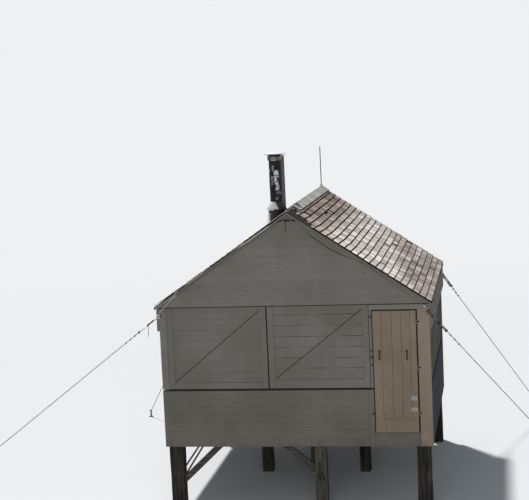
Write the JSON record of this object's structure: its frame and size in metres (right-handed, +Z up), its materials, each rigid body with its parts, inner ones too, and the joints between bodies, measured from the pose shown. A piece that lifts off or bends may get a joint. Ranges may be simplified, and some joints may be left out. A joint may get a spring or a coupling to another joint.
{
  "type": "fire lookout cab",
  "caption": "Small square fire lookout cab of boards with closed shutters, a gable roof of shingles and a stovepipe, standing on timber posts and held by cables.",
  "frame": {"origin": "on level ground, at the foot of the post under the middle of the cab", "axes": "+Z up, the door side faces -Y, +X to the right seen from the door side"},
  "size_m": [11.087, 7.1568, 5.5971],
  "materials": {
    "post_timber": "dark weathered round-edged timber",
    "pale_post_timber": "paler weathered timber",
    "brace_wood": "grey weathered board",
    "floor_wood": "bare boards",
    "wall_boards": "old pale paint on horizontal boards",
    "sash_wood": "old pale paint",
    "shutter_boards": "old pale paint on boards",
    "gable_boards": "old pale paint on horizontal boards",
    "ceiling_boards": "bare boards",
    "shingles": "sun-bleached cedar with brown patches",
    "ridge_boards": "sun-bleached board",
    "door_boards": "old brown-grey paint on vertical boards",
    "door_iron": "dark iron",
    "pipe_steel": "black with bare silvery patches",
    "flashing_sheet": "bright galvanized sheet",
    "stay_paint": "blue-grey painted batten",
    "rod_iron": "dark iron",
    "cable_steel": "galvanized steel rope"
  },
  "bodies": {
    "cab": {"front_left_post": "post_timber", "front_middle_post": "pale_post_timber", "front_right_post": "post_timber", "centre_post": "pale_post_timber", "middle_posts": "post_timber", "back_posts": "post_timber", "front_knee_braces": "brace_wood", "back_knee_braces": "brace_wood", "floor_frame": "floor_wood", "floor_deck": "floor_wood", "front_lower_wall": "wall_boards", "front_window_wall": "wall_boards", "door_post": "wall_boards", "front_right_wall": "wall_boards", "door_head": "wall_boards", "door_sill": "wall_boards", "back_lower_wall": "wall_boards", "back_window_wall": "wall_boards", "left_lower_wall": "wall_boards", "left_window_wall": "wall_boards", "right_lower_wall": "wall_boards", "right_window_wall": "wall_boards", "window_sashes": "sash_wood", "front_left_shutter": "shutter_boards", "front_right_shutter": "shutter_boards", "back_shutters": "shutter_boards", "left_shutters": "shutter_boards", "right_shutters": "shutter_boards", "frame_hinge_leaves": "door_iron", "front_gable": "gable_boards", "back_gable": "gable_boards", "ceiling": "ceiling_boards", "roof_left": "shingles", "roof_right": "shingles", "ridge_cap": "ridge_boards", "stovepipe": "pipe_steel", "stovepipe_cap": "pipe_steel", "roof_flashing": "flashing_sheet", "stovepipe_stay": "stay_paint", "lightning_rod": "rod_iron", "front_left_guy": "cable_steel", "front_right_guy": "cable_steel", "back_left_guy": "cable_steel", "back_right_guy": "cable_steel", "front_gable_cable": "cable_steel", "back_gable_cable": "cable_steel"},
    "door": {"door_leaf": "door_boards", "door_handles": "door_iron", "door_hinge_leaves": "door_iron"}
  },
  "joints": [
    {"name": "door_hinge", "type": "hinge", "parent": "cab", "child": "door", "pos_m": [1.9325, -2.1415, 2.25], "axis": [0, 0, 1], "range_deg": [0, 110]}
  ]
}
